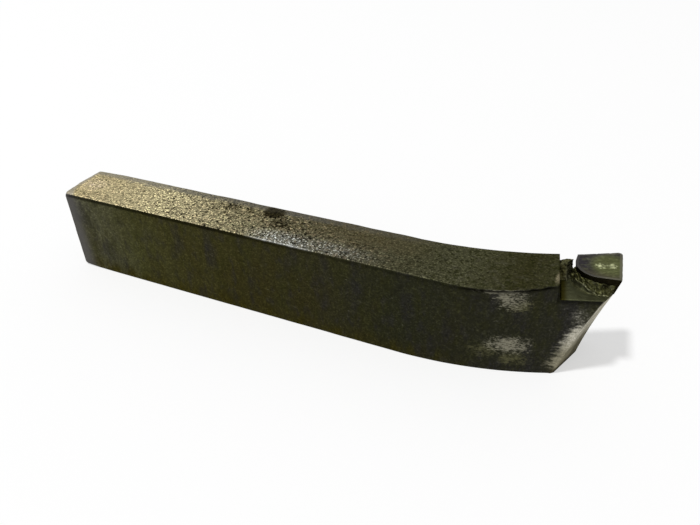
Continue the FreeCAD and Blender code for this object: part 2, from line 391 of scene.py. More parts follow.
def shank_place(along, across, up):
    """Bends the block: each station is a leaning plane up to the pocket's floor, then turns into the nose."""
    near_end = np.clip((along - foot_along) / (end_along - foot_along), 0.0, 1.0)
    share = nose_share(across / WIDTH, up, smooth(near_end, 0.0, 1.0))
    turn = skew * smooth(along, SKEW_START, rim_along)
    lean = (up - MIDDLE_Z) * slope(REAR_LEAN) * (1.0 - smooth(along, 0.0, LEAN_REACH))
    bulge = REAR_BULGE * (1.0 - (2.0 * across / WIDTH - 1.0) ** 2) * np.exp(-along / 2.0)
    start = REAR_X + np.minimum(along, foot_along) + lean - bulge
    x, y = start.copy(), np.zeros_like(start)
    for _ in range(16):
        near, far = near_y(x, up), far_y(x, up)
        y = near + share * (far - near)
        x = (start + turn * y) * (1.0 - near_end) + nose_x(y, up) * near_end
    return np.stack([x, y, up], -1)


def lip_reach(x):
    """How far the rolled lip stands out of the near side: the gap between two arcs, one begun later."""
    delay, radius = NEAR_SIDE[2]
    later = bend(x, delay + LIP_DELAY, radius, 0.0)
    return bend(x, delay, radius, 0.0) - later


# Nicks in the near top edge: place along it, reach and depth
NICKS = ((-37.2, 0.9, 0.22), (-30.4, 0.4, 0.10), (-9.8, 0.5, 0.12), (7.3, 0.35, 0.10), (18.9, 0.6, 0.12),
         (33.5, 0.4, 0.10), (47.0, 0.5, 0.10))


def forged_relief(at, normals, marks):
    """Die marks, scale grain, pits and edge nicks, all sunk into the surface; ground faces are left plain."""
    flat = 1.0 - 0.75 * marks["long_edge"]
    rough = 0.06 + 0.94 * marks["top_face"]
    relief = 0.012 * waves(at, 12.0, 21) + flat * 0.008 * waves(at, 3.5, 22)
    relief += flat * rough * (0.008 * waves(at, 1.7, 23) + 0.008 * waves(at, 1.0, 24))
    relief -= flat * rough * 0.04 * np.maximum(0.0, waves(at, 1.6, 25) - 1.3)
    relief = relief - 0.03
    for x, reach, depth in NICKS:
        edge = np.array([x, -WIDTH / 2, HEIGHT])
        relief -= depth * np.exp(-(((at - edge) / np.array([reach, 0.5, 0.6])) ** 2).sum(axis=1))
    ground = smooth(marks["behind_nose"], 0.0, 0.4)
    relief = relief * ground * (1.0 - 0.6 * marks["pocket"])
    relief -= 0.003 * (1.0 - ground) * (1.0 + waves(at, 1.0, 26))
    base = np.clip(-normals[:, 2], 0.0, 1.0) * (at[:, 2] < 0.5)
    return np.where(base > 0.5, np.minimum(relief, -0.02) * 0.3, relief)


def tool_shank(material):
    """A block of stations, columns and rows: edges rounded, bent along the sides, its lip rolled out."""
    along, top = stations()
    columns = shank_columns()
    rows = graded(HEIGHT, 0.42, head=EDGE_STEPS, tail=LIP_STEPS) / HEIGHT
    index, quads = lattice_shell((len(along), len(columns), len(rows)))
    at_along, at_top = along[index[:, 0]], top[index[:, 0]]
    up = rows[index[:, 2]] * at_top
    block = rounded(at_along, columns[index[:, 1]] * WIDTH, up, at_top)
    at = shank_place(*block.T)
    behind_rim = 1.0 - smooth(at_along, rim_along - 0.02, rim_along + 0.02)
    depth = HEIGHT - at[:, 2]
    lip = (1.0 - smooth(depth, LIP_DEPTH - 0.04, LIP_DEPTH + 0.06)) * np.clip(1.0 - block[:, 1], 0.0, 1.0)
    rolled = 1.0 + 0.25 * waves(at[:, :1], 3.0, 12)
    at[:, 1] -= lip_reach(at[:, 0]) * lip * behind_rim * rolled
    last_row, last_station = len(rows) - 1, len(along) - 1
    on_top = (index[:, 2] == last_row).astype(float)
    near_side = block[:, 1] < 0.1
    # Painted shadow under the rolled lip, and a weaker one under the pocket's ledge, kept as a mark for the
    # colour
    lip_shadow = smooth(depth, LIP_DEPTH - 0.14, LIP_DEPTH) * (1.0 - smooth(depth, 0.75, 1.15)) * near_side
    line = meet(bevel_line(at[:, 2]), bevel_angle, end_line(at[:, 2]), end_edge)
    edge_reach = np.minimum(block[:, 1], WIDTH - block[:, 1]) + np.minimum(block[:, 2], at_top - block[:, 2])
    lip_shadow *= behind_rim * (0.35 + 0.65 * smooth(lip_reach(at[:, 0]), 0.0, 0.1))
    ledge_shadow = smooth(at[:, 2], 15.3, 16.0) * near_side * (1.0 - behind_rim) * (1.0 - on_top)
    marks = {
        "top_face": on_top * behind_rim,
        "pocket": on_top * (1.0 - behind_rim),
        "lip_shadow": np.maximum(0.6 * ledge_shadow, lip_shadow),
        "behind_nose": np.where(index[:, 0] == last_station, 0.0, nose_x(at[:, 1], at[:, 2]) - at[:, 0]),
        "past_bevel": (at[:, :2] - line) @ heading(end_edge),
        "long_edge": 1.0 - smooth(edge_reach, 0.1, 0.7),
        "rear": 1.0 - smooth(block[:, 0], 1.4, 5.2),
    }
    normals = corner_normals(at, [quads])
    at = at + normals * forged_relief(at, normals, marks)[:, None]
    return make_piece("shank_forging", at, [quads], material, marks)


# Tip
def run_between(a, b, count):
    """Plan points on a line from a up to b, without b."""
    return a + (b - a) * np.linspace(0, 1, count, endpoint=False)[:, None]


def tip_ring(z, inset, counts=(74, 60, 70, 26, 66)):
    """The tip's outline at a height, drawn in by its clearances and an inset: four lines and one arc."""
    fall = HEIGHT - z
    relief = fall * slope(TIP_RELIEF) + inset
    near_point = near_front - heading(near_edge - 90) * relief
    rear_point = far_rear + heading(end_edge - 90) * (relief - TIP_REAR_OUT)
    end_point = near_front + heading(end_edge - 90) * (-fall * slope(END_CLEARANCE) - inset)
    far_point = nose - heading(far_edge + 90) * (fall * slope(FAR_CLEARANCE) + inset)
    tip_end, tip_rear = end_edge - TIP_END_TURN, end_edge - TIP_REAR_TURN
    nose_at = meet(end_point, tip_end, far_point, far_edge)
    front = meet(near_point, near_edge, end_point, tip_end)
    rear = meet(rear_point, tip_rear, far_point, far_edge)
    corner = meet(near_point, near_edge, rear_point, tip_rear)
    radius = TIP_ROUND - relief
    half = math.radians(tip_rear - near_edge) / 2
    tangent = radius / math.tan(half)
    inward = heading(near_edge) + heading(tip_rear)
    centre = corner + inward * radius / (2 * math.cos(half) * math.sin(half))
    turns = np.radians(np.linspace(near_edge - 90, tip_rear - 270, counts[2], endpoint=False))
    arc = centre + radius * np.stack([np.cos(turns), np.sin(turns)], -1)
    near_end, rear_end = corner + heading(near_edge) * tangent, corner + heading(tip_rear) * tangent
    plan = np.concatenate([
        run_between(nose_at, front, counts[0]),
        run_between(front, near_end, counts[1]),
        arc,
        run_between(rear_end, rear, counts[3]),
        run_between(rear, nose_at, counts[4]),
    ])
    return np.column_stack([plan, np.full(len(plan), z)])


def shrunk(ring, share):
    centre = ring.mean(axis=0)
    return centre + (ring - centre) * share


def carbide_tip(material):
    """Rings from the middle of the underside, up the ground sides, over the edge and in over the top."""
    bottom = tip_ring(TIP_Z, 0.0)
    rings = [shrunk(bottom, share) for share in (0.05, 0.35, 0.65, 0.9)]
    rings += [tip_ring(z, 0.0) for z in np.linspace(TIP_Z, HEIGHT - 0.06, 20)]
    rings += [tip_ring(HEIGHT - 0.03, 0.008), tip_ring(HEIGHT - 0.01, 0.025)]
    first_top = len(rings)
    insets = (0.05, 0.12, 0.22, 0.34, 0.46, 0.58)
    rings += [tip_ring(HEIGHT, inset) for inset in insets]
    top = tip_ring(HEIGHT, insets[-1])
    shares = np.linspace(1.0, 0.04, 26)[1:]
    rings += [shrunk(top, share) for share in shares]
    land = np.concatenate([np.zeros(first_top), insets, insets[-1] + 3.0 * (1.0 - shares)])
    points, faces = ring_shell(np.stack(rings))
    faces = facing_out(points, faces)
    around = len(bottom)
    inset_mark = np.concatenate([np.repeat(land, around), [0.0, 3.5]])
    on_top = np.repeat(np.arange(len(rings)) > first_top - 2, around)
    top_mark = np.concatenate([on_top, [False, True]]).astype(float)
    normals = corner_normals(points, faces)
    edge = np.exp(-((HEIGHT - points[:, 2]) / 0.12) ** 2) * np.exp(-((inset_mark / 0.15) ** 2))
    chips = np.maximum(0.0, waves(points, 0.7, 31) - 1.1) * edge
    relief = 0.006 * waves(points, 2.0, 32) - 0.05 * chips - 0.006
    points = points + normals * relief[:, None]
    from_nose = np.linalg.norm(points[:, :2] - points[around * first_top, :2], axis=1)
    broken = NOSE_BROKEN * np.exp(-(from_nose / 0.5) ** 2) * smooth(points[:, 2], 17.5, 19.6)
    points[:, :2] -= broken[:, None] * heading((end_edge + far_edge) / 2)
    marks = {"inset": inset_mark, "top_face": top_mark}
    return make_piece("hard_metal_tip", points, faces, material, marks)


# Brazing metal. The tables give a place on the tip's ring, counted from the nose, and a length there
FILM = 0.1
FILM_EDGE = 0.035
RIDGE_STOPS = (
    (0, 0.3), (70, 0.3), (74, 1.4), (105, 1.35), (120, 1.25), (134, 1.1), (145, 0.8), (155, 0.6), (165, 0.5),
    (175, 0.6), (185, 0.9), (190, 1.05), (195, 1.2), (200, 1.35), (206, 1.35), (217, 1.1), (230, 1.1),
    (234, 0.3), (296, 0.3),
)
RIDGE_HEIGHTS = (
    (0, 0.05), (134, 0.06), (145, 0.38), (150, 0.62), (155, 0.92), (165, 1.12), (175, 0.72), (185, 0.24),
    (190, 0.1), (195, 0.05), (296, 0.05),
)
BEAD_HEIGHT = 0.16
CREST_STOPS = (
    (0, 0.3), (73, 0.3), (76, 2.0), (105, 2.1), (120, 2.25), (134, 2.4), (150, 2.4), (185, 2.3), (195, 2.15),
    (204, 1.9), (230, 1.6), (231, 0.3), (296, 0.3),
)
FALL_RINGS, CLIMB_RINGS = 12, 26
FALL_FILM = ((0, 0.7), (1, 0.2), (3, 0.3), (7, 0.85), (10.5, 0.85), (13, 0.0))
LUMP_LENGTH = 3.4
LUMP_REACH = 2.8
LUMP_HEIGHT = 2.8
LUMP_FAR_TAPER, LUMP_NEAR_TAPER = 0.5, 1.5
LUMP_ROUND = 0.24
LEDGE_MARGIN = 0.08
wall_foot = wall_far + wall_out * wall_shift
POCKET_LINES = (
    (wall_foot, wall_angle + 90),
    (ledge_point + heading(LEDGE_ANGLE + 90) * LEDGE_MARGIN, LEDGE_ANGLE - 90),
    (bevel_start, bevel_angle - 90),
    (near_front, end_edge - 90),
    (nose, far_edge + 90),
)


def first_line(centre, rays, lines):
    """Distance along each ray from the centre to the nearest line, each a point and an outward angle."""
    hits = []
    for point, outward in lines:
        facing = rays @ heading(outward)
        distance = ((point - centre) @ heading(outward)) / np.maximum(facing, 1e-3)
        hits.append(np.where(facing > 1e-3, distance, 1e3))
    return np.minimum.reduce(hits)


def ground_flush(points):
    """Cuts the metal back to the tip's end and far ground faces, where the wheel took it with the tip."""
    for edge_point, outward, clearance in ((near_front, end_edge - 90, END_CLEARANCE),
                                           (nose, far_edge + 90, FAR_CLEARANCE)):
        out = heading(outward)
        fall = HEIGHT - points[:, 2]
        proud = (points[:, :2] - edge_point) @ out + fall * slope(clearance)
        points[:, :2] -= np.maximum(0.0, proud)[:, None] * out
    return points


def run_lines(seat, full):
    """The run's outer foot, the place and height of its ridge, and the height of its crest, round the tip."""
    side = np.arange(len(seat))
    wander = waves(seat[:, :2], 1.4, 41)
    ridge = np.interp(side, *zip(*RIDGE_HEIGHTS)) * (1.0 + 0.1 * wander)
    ridge_at = np.interp(side, *zip(*RIDGE_STOPS)) * (1.0 + 0.08 * wander)
    outer = np.minimum(ridge_at + 0.2 + 0.5 * ridge, np.maximum(full - 0.05, 0.05))
    ridge_at = np.minimum(ridge_at, np.maximum(outer - 0.15, 0.03))
    crest = np.interp(side, *zip(*CREST_STOPS)) + 0.07 * waves(seat[:, :2], 1.3, 42)
    return outer, ridge_at, ridge, crest


def braze_run():
    """Rings from under the tip out over the film to the pocket's edges, and back up the run to the tip.

    The run falls from a ridge as a smooth hollow to the film. From the ridge it climbs to its crest in lumps.
    """
    seat = tip_ring(SEAT_Z + FILM, 0.0)
    around = len(seat)
    centre = seat[:, :2].mean(axis=0)
    rays = seat[:, :2] - centre
    reach = np.linalg.norm(rays, axis=1)
    rays = rays / reach[:, None]
    full = first_line(centre, rays, POCKET_LINES) - reach
    outer, ridge_at, ridge, crest = run_lines(seat, full)
    run = smooth(crest, 0.3, 1.4)

    def ring(out, height):
        return np.column_stack([centre + rays * (reach + out)[:, None], SEAT_Z + height])

    level = np.zeros(around)
    rings = [ring(full * share - reach * (1.0 - share), level) for share in (0.05, 0.5, 1.0)]
    film, bead, hollow = [level + 1.0] * 3, [level] * 3, [level] * 3
    for share in (1.0, 0.9, 0.75, 0.6, 0.45, 0.3, 0.15):
        out = outer + (full - outer) * share
        height = FILM_EDGE + 0.015 * waves(ring(out, level)[:, :2], 1.3, 43)
        rings.append(ring(out, np.clip(height, 0.015, 0.1)))
        film.append(level + 1.0)
        bead.append(level)
        hollow.append(level + math.exp(-((share / 0.2) ** 2)))
    for place in range(FALL_RINGS + CLIMB_RINGS + 1):
        fall = min(1.0, place / FALL_RINGS)
        climb = max(0.0, (place - FALL_RINGS) / CLIMB_RINGS)
        out = outer + (ridge_at - outer) * fall + (crest * slope(TIP_RELIEF) - ridge_at) * climb
        height = FILM_EDGE + (ridge - FILM_EDGE) * fall**1.7 + (crest - ridge) * climb**0.9
        spots = ring(out, height)
        bell = math.exp(-(((place - FALL_RINGS) / 2.6) ** 2)) * (1.0 + 0.4 * waves(spots, 0.9, 44)) * run
        swell = math.sin(math.pi * climb) ** 0.6
        lumps = (0.12 * waves(spots, 1.2, 45) + 0.06 * waves(spots, 0.6, 46)) * swell
        height = np.maximum(FILM_EDGE, height + BEAD_HEIGHT * bell + lumps * run)
        out = np.maximum(out + 0.6 * BEAD_HEIGHT * bell + 0.8 * lumps * run, height * slope(TIP_RELIEF))
        rings.append(ring(out, height))
        film.append(level + np.interp(place, *zip(*FALL_FILM)))
        bead.append(level + bell)
        hollow.append(level + math.exp(-(((place - 2.0) / 2.2) ** 2)))
    rings.append(ring(level - 0.05, level + FILM))
    rings += [ring(-reach * share, level + FILM) for share in (0.4, 0.95)]
    points, faces = ring_shell(np.stack(rings))
    rest = len(points) - len(film) * around
    marks = [np.concatenate([np.concatenate(mark), np.zeros(rest)]) for mark in (film, bead, hollow)]
    return ground_flush(points), facing_out(points, faces), marks


def corner_lump():
    """Metal left in the pocket's far corner: a tapering block, its front slanted and its edges round."""
    counts = (34, 34, 30)
    index, quads = lattice_shell(counts)
    size = np.array([LUMP_REACH, LUMP_LENGTH, LUMP_HEIGHT + 0.1])
    at = index / (np.array(counts) - 1.0) * size
    inner = np.clip(at, LUMP_ROUND, size - LUMP_ROUND)
    reach = at - inner
    at = inner + reach * (LUMP_ROUND / np.maximum(np.linalg.norm(reach, axis=1), 1e-9))[:, None]
    share = at / size
    rise = share[:, 2]
    out = at[:, 0] * (1.0 - 0.45 * share[:, 1]) * (1.0 - 0.1 * rise + 0.2 * (1.0 - rise) ** 4)
    length = LUMP_LENGTH - rise * (LUMP_FAR_TAPER + LUMP_NEAR_TAPER)
    along = rise * LUMP_FAR_TAPER + share[:, 1] * length
    plan = wall_far - heading(wall_angle) * (TIP_INSET + along)[:, None] + wall_out * out[:, None]
    points = np.column_stack([plan, SEAT_Z + at[:, 2] * (1.0 + 0.2 * share[:, 0]) - 0.1])
    quads = facing_out(points, [quads])
    normals = corner_normals(points, quads)
    relief = 0.045 * waves(points, 1.7, 51) + 0.035 * waves(points, 0.7, 52) - 0.02
    return ground_flush(points + normals * relief[:, None]), quads


def braze_filler(material):
    run_points, run_faces, run_marks = braze_run()
    lump_points, lump_faces = corner_lump()
    points, faces = joined((run_points, run_faces), (lump_points, lump_faces))
    none = np.zeros(len(lump_points))
    marks = {name: np.concatenate([mark, none]) for name, mark in zip(("film", "bead", "hollow"), run_marks)}
    marks["lump"] = np.concatenate([np.zeros(len(run_points)), none + 1.0])
    return make_piece("brazing_metal", points, faces, material, marks)


# Shader nodes
class Graph:
    """Adds shader nodes to a tree. An input is a value or another node's output."""

    def __init__(self, tree):
        self.tree = tree

    def feed(self, node, inputs):
        for name, value in inputs.items():
            if isinstance(value, bpy.types.NodeSocket):
                self.tree.links.new(value, node.inputs[name])
            else:
                node.inputs[name].default_value = value

    def add(self, kind, inputs=None, output=0, **settings):
        node = self.tree.nodes.new("ShaderNode" + kind)
        for name, value in settings.items():
            setattr(node, name, value)
        self.feed(node, inputs or {})
        return node.outputs[output] if node.outputs else None

    def math(self, operation, a, b=0.0, clamp=False):
        return self.add("Math", {0: a, 1: b}, operation=operation, use_clamp=clamp)

    def times(self, *values):
        product = values[0]
        for value in values[1:]:
            product = self.math("MULTIPLY", product, value)
        return product

    def plus(self, a, b):
        return self.math("ADD", a, b)

    def less(self, value):
        """What is left of 1."""
        return self.math("SUBTRACT", 1.0, value, clamp=True)

    def most(self, *values):
        greatest = values[0]
        for value in values[1:]:
            greatest = self.math("MAXIMUM", greatest, value)
        return greatest

    def sway(self, noise, reach):
        """A noise centred on 0 and stretched."""
        return self.times(self.plus(noise, -0.5), reach)

    def step(self, value, low, high):
        """Smooth step from 0 at low to 1 at high."""
        inputs = {"Value": value, "From Min": low, "From Max": high}
        return self.add("MapRange", inputs, interpolation_type="SMOOTHSTEP")

    def below(self, value, low, high):
        """1 up to low, falling smoothly to 0 at high."""
        return self.less(self.step(value, low, high))

    def within(self, value, low, high, soft):
        """1 between two limits, fading to 0 over a soft distance outside them."""
        return self.times(self.step(value, low - soft, low), self.below(value, high, high + soft))

    def mix(self, share, a, b):
        a, b = (colour if isinstance(colour, bpy.types.NodeSocket) else (*colour, 1.0) for colour in (a, b))
        return self.add("Mix", {0: share, 6: a, 7: b}, output=2, data_type="RGBA")

    def cover(self, colour, other, *shares):
        """Another colour laid over one, as far as the product of some shares."""
        return self.mix(self.times(*shares), colour, other)

    def scaled(self, colour, value):
        """A colour times a value."""
        inputs = {0: 1.0, 6: colour, 7: self.add("CombineColor", {0: value, 1: value, 2: value})}
        return self.add("Mix", inputs, output=2, data_type="RGBA", blend_type="MULTIPLY")

    def darker(self, colour, *shares):
        """A colour darkened as far as the product of some shares."""
        return self.scaled(colour, self.less(self.times(*shares)))

    def spot(self, at, centre, reach):
        """1 at a place, fading to 0 at about its reach along each axis. No reach means any distance."""
        size = [length or 1e6 for length in reach]
        offset = self.add("VectorMath", {0: at, 1: centre}, operation="SUBTRACT")
        offset = self.add("VectorMath", {0: offset, 1: size}, operation="DIVIDE")
        return self.below(self.add("VectorMath", {0: offset}, output=1, operation="LENGTH"), 0.1, 1.2)

    def spots(self, at, places, axes=(0, 1)):
        """The strongest of several spots, each with its place and reach on two axes and its strength."""
        found = []
        for *place, first_reach, second_reach, strength in places:
            centre, reach = [0.0, 0.0, 0.0], [0.0, 0.0, 0.0]
            centre[axes[0]], centre[axes[1]] = place
            reach[axes[0]], reach[axes[1]] = first_reach, second_reach
            found.append(self.times(self.spot(at, centre, reach), strength))
        return self.most(*found)

    def ramp(self, value, low, high, stops):
        """Colours at chosen values, blended between."""
        share = self.add("MapRange", {"Value": value, "From Min": low, "From Max": high})
        node = self.tree.nodes.new("ShaderNodeValToRGB")
        self.tree.links.new(share, node.inputs[0])
        places = node.color_ramp.elements
        while len(places) < len(stops):
            places.new(0.5)
        for place, (at, colour) in zip(places, stops):
            place.position = (at - low) / (high - low)
            place.color = (*colour, 1.0)
        return node.outputs[0]

    def mark(self, name):
        return self.add("Attribute", output=2, attribute_name=name)

    def place(self, turn=0.0, scale=(1.0, 1.0, 1.0)):
        """Object coordinates in millimetres, turned about Z and scaled."""
        coordinates = self.add("TexCoord", output=3)
        size = [s / MM for s in scale]
        turned = self.add("Mapping", {"Vector": coordinates, "Rotation": (0.0, 0.0, math.radians(-turn))})
        return self.add("Mapping", {"Vector": turned, "Scale": size})

    def use(self, group, inputs):
        node = self.tree.nodes.new("ShaderNodeGroup")
        node.node_tree = group
        self.feed(node, inputs)
        return node.outputs


def new_group(name, inputs, outputs, fill):
    """A shader node group: fill takes its graph and inputs and returns what its outputs get, in order."""
    tree = bpy.data.node_groups.new(name, "ShaderNodeTree")
    for label, kind in inputs:
        tree.interface.new_socket(label, in_out="INPUT", socket_type="NodeSocket" + kind)
    for label in outputs:
        tree.interface.new_socket(label, in_out="OUTPUT", socket_type="NodeSocketFloat")
    given = tree.nodes.new("NodeGroupInput").outputs
    results = fill(Graph(tree), *(given[label] for label, _ in inputs))
    end = tree.nodes.new("NodeGroupOutput").inputs
    for label, result in zip(outputs, results):
        tree.links.new(result, end[label])
    return tree


def scale_grain_group():
    """Rough grain of forging scale: its height, and the parts that catch light or lie dark."""
    def fill(g, vector, size):
        scale = g.math("DIVIDE", 1.0, size)
        fine = g.add("TexNoise", {"Vector": vector, "Scale": scale, "Detail": 1.5, "Roughness": 0.6})
        coarse = g.add("TexNoise", {"Vector": vector, "Scale": g.times(scale, 0.37), "Detail": 2.0})
        other = g.add("TexNoise", {"Vector": vector, "Scale": g.times(scale, 1.15), "Detail": 1.0}, output=1)
        other = g.add("SeparateColor", {0: other}, output=0)
        height = g.plus(g.times(fine, 0.6), g.times(coarse, 0.4))
        return height, g.step(other, 0.52, 0.66), g.less(g.step(fine, 0.32, 0.5))
    inputs = [("Vector", "Vector"), ("Size", "Float")]
    return new_group("scale_grain", inputs, ("Height", "Flecks", "Pits"), fill)


def stain_group():
    """Broad stains: two soft masks that seldom overlap."""
    def fill(g, vector, size):
        scale = g.math("DIVIDE", 1.0, size)
        cloud = g.add("TexNoise", {"Vector": vector, "Scale": scale, "Detail": 4.0, "Roughness": 0.6})
        other = g.add("TexNoise", {"Vector": vector, "Scale": g.times(scale, 1.7), "Detail": 3.0}, output=1)
        split = g.add("SeparateColor", {0: other}, output=2)
        return g.step(cloud, 0.46, 0.66), g.step(split, 0.5, 0.7)
    return new_group("stains", [("Vector", "Vector"), ("Size", "Float")], ("Warm", "Cool"), fill)


def streak_group():
    """Grinding marks: noise drawn out along the vector's X."""
    def fill(g, vector, size, length):
        drawn = g.add("CombineXYZ", {0: g.math("DIVIDE", 1.0, length), 1: g.math("DIVIDE", 1.0, size),
                                     2: g.math("DIVIDE", 1.0, size)})
        stretched = g.add("VectorMath", {0: vector, 1: drawn}, operation="MULTIPLY")
        fine = g.add("TexNoise", {"Vector": stretched, "Scale": 1.0, "Detail": 3.0, "Roughness": 0.65})
        return (fine, g.step(fine, 0.42, 0.62))
    inputs = [("Vector", "Vector"), ("Size", "Float"), ("Length", "Float")]
    return new_group("streaks", inputs, ("Height", "Marks"), fill)


def new_material(name):
    """A material with an empty tree: its graph and its output node."""
    material = bpy.data.materials.new(name)
    material.use_nodes = True
    material.node_tree.nodes.clear()
    return material, Graph(material.node_tree)


EDGE_SHEEN = (0.50, 0.48, 0.38, 1.0)


def finish_surface(g, colour, roughness, height, relief, metallic):
    """Principled surface with a bump of a real depth in millimetres."""
    bump = g.add("Bump", {"Height": height, "Strength": 1.0, "Distance": relief * MM})
    shader = g.add("BsdfPrincipled", {"Base Color": colour, "Roughness": roughness, "Normal": bump,
                                      "Metallic": metallic, "Specular IOR Level": 0.25,
                                      "Specular Tint": EDGE_SHEEN})
    g.add("OutputMaterial", {"Surface": shader})


# Colours, as linear light, and spots: place, reach and strength
SIDE_STOPS = (
    (-40.0, (0.137, 0.134, 0.092)), (-33.0, (0.116, 0.114, 0.068)), (-21.0, (0.078, 0.077, 0.029)),
    (-9.0, (0.063, 0.058, 0.020)), (3.0, (0.056, 0.051, 0.017)), (15.0, (0.048, 0.045, 0.017)),
    (28.0, (0.041, 0.039, 0.018)), (41.0, (0.030, 0.031, 0.016)), (70.0, (0.031, 0.031, 0.021)),
)
# Top colour along the shank: its pale rear is partly the scale's own tone, partly a painted reflection
TOP_STOPS = (
    (-40.0, (0.38, 0.32, 0.18)), (-30.0, (0.39, 0.335, 0.20)), (-18.0, (0.40, 0.355, 0.215)),
    (-7.0, (0.32, 0.285, 0.175)), (5.0, (0.19, 0.172, 0.104)), (13.0, (0.118, 0.108, 0.068)),
    (22.0, (0.084, 0.078, 0.051)), (30.0, (0.071, 0.066, 0.044)), (42.0, (0.049, 0.048, 0.027)),
    (54.0, (0.055, 0.055, 0.030)), (64.0, (0.028, 0.027, 0.011)), (70.0, (0.042, 0.042, 0.021)),
)
TIP_PURPLE = (0.037, 0.034, 0.041)
TIP_OLIVE = (0.105, 0.116, 0.051)
TIP_BROWN = (0.074, 0.066, 0.040)
TIP_GLINT = (0.62, 0.65, 0.38)
TIP_LAND = (0.064, 0.062, 0.062)
TIP_PALE = (0.135, 0.130, 0.100)
BROWN_SCALE = (0.042, 0.033, 0.009)
BLUE_SCALE = (0.033, 0.031, 0.034)
GREEN_SCALE = (0.040, 0.041, 0.011)
BASE_EDGE = (0.052, 0.042, 0.006)
REAR_GREY = (0.124, 0.119, 0.118)
REAR_RIM = (0.30, 0.275, 0.225)
GREEN_FLECK = (0.34, 0.36, 0.17)
HEAD_OLIVE = (0.062, 0.060, 0.040)
HEAD_PITS = (0.018, 0.021, 0.004)
PITTED_SPOTS = ((10.3, 4.0, 4.0, 3.2, 1.6), (13.6, 2.0, 2.6, 1.6, 0.95), (0.8, 2.9, 3.8, 2.4, 0.95),
                (13.8, 0.2, 5.0, 2.8, 0.85), (22.0, 0.6, 3.6, 2.2, 0.75))
FAR_GREY_REAR = (0.215, 0.205, 0.175)
FAR_GREY = (0.092, 0.089, 0.079)
FAR_BROWN = (0.070, 0.060, 0.030)
WARM_FLECK = (0.42, 0.31, 0.19)
REAR_GLINT = (0.66, 0.55, 0.41)
WORN_STEEL = (0.325, 0.308, 0.232)
WORN_OLIVE = (0.125, 0.120, 0.060)
SPARKLE_STRIPS = ((17.4, -4.5, 9.4, 3.1, 1.0), (25.0, -4.2, 13.0, 2.8, 0.5))
REAR_GLINT_SPOTS = ((-36.0, -0.2, 4.6, 3.2, 1.0),)
NOSE_SCUFF = ((75.6, 12.6, 4.0, 3.4, 1.0),)
TIP_OLIVE_REFLECTION = ((77.7, 10.0, 4.4, 4.9, 1.0),)
TIP_GLINT_SPOTS = ((76.0, 9.45, 1.25, 1.15, 1.0), (78.1, 10.1, 1.25, 1.15, 1.0))
BARE_PATCHES = ((61.0, 19.3, 5.4, 1.0, 1.25), (62.8, 17.2, 3.9, 3.2, 1.1), (63.6, 6.5, 5.2, 3.0, 1.1))
OLIVE_PATCHES = ((64.2, 15.8, 3.8, 2.4, 1.0), (64.5, 3.4, 4.2, 2.4, 1.0), (59.6, 4.8, 4.6, 2.4, 0.85))
BEVEL_STEEL = (0.350, 0.325, 0.232)
BEVEL_HOLLOW = (0.235, 0.218, 0.155)
BEVEL_HIGHLIGHT_STEEL = (0.64, 0.61, 0.52)
BEVEL_HIGHLIGHT_HOLLOW = (0.42, 0.40, 0.32)
RUBBED_RIM = (0.42, 0.36, 0.24)
BURNT_EDGE = (0.030, 0.024, 0.007)
POCKET_FLOOR = (0.070, 0.073, 0.038)
POCKET_DARK = (0.034, 0.033, 0.016)
# painted shadow at the foot of the pocket's wall
POCKET_WALL_SHADOW = (0.028, 0.025, 0.004)
STAIN_BROWN = (0.048, 0.034, 0.009)
PITTED_DARK = (0.010, 0.008, 0.003)
WORN_EDGE_HIGHLIGHT = (0.40, 0.41, 0.40)
# painted sparkle highlight on the top's near half
SPARKLE_HIGHLIGHT = (0.28, 0.295, 0.29)
TIP_BLOT = (0.15, 0.16, 0.085)
TIP_SIDE_OXIDE_AND_SHADE = (0.013, 0.011, 0.005)
TIP_SHADE = (0.006, 0.005, 0.002)
TIP_EDGE = (0.09, 0.09, 0.075)
BRASS_OLIVE = (0.068, 0.068, 0.024)
BRASS_DARK = (0.030, 0.028, 0.010)
BRASS_PALE = (0.090, 0.090, 0.050)
BRASS_FLECK = (0.17, 0.175, 0.10)
BRASS_RIDGE_HIGHLIGHT = (0.30, 0.30, 0.20)
LUMP_DARK = (0.048, 0.042, 0.015)
LUMP_PALE = (0.20, 0.195, 0.13)
LUMP_TOP = (0.045, 0.043, 0.022)
LUMP_FLECK = (0.75, 0.74, 0.58)


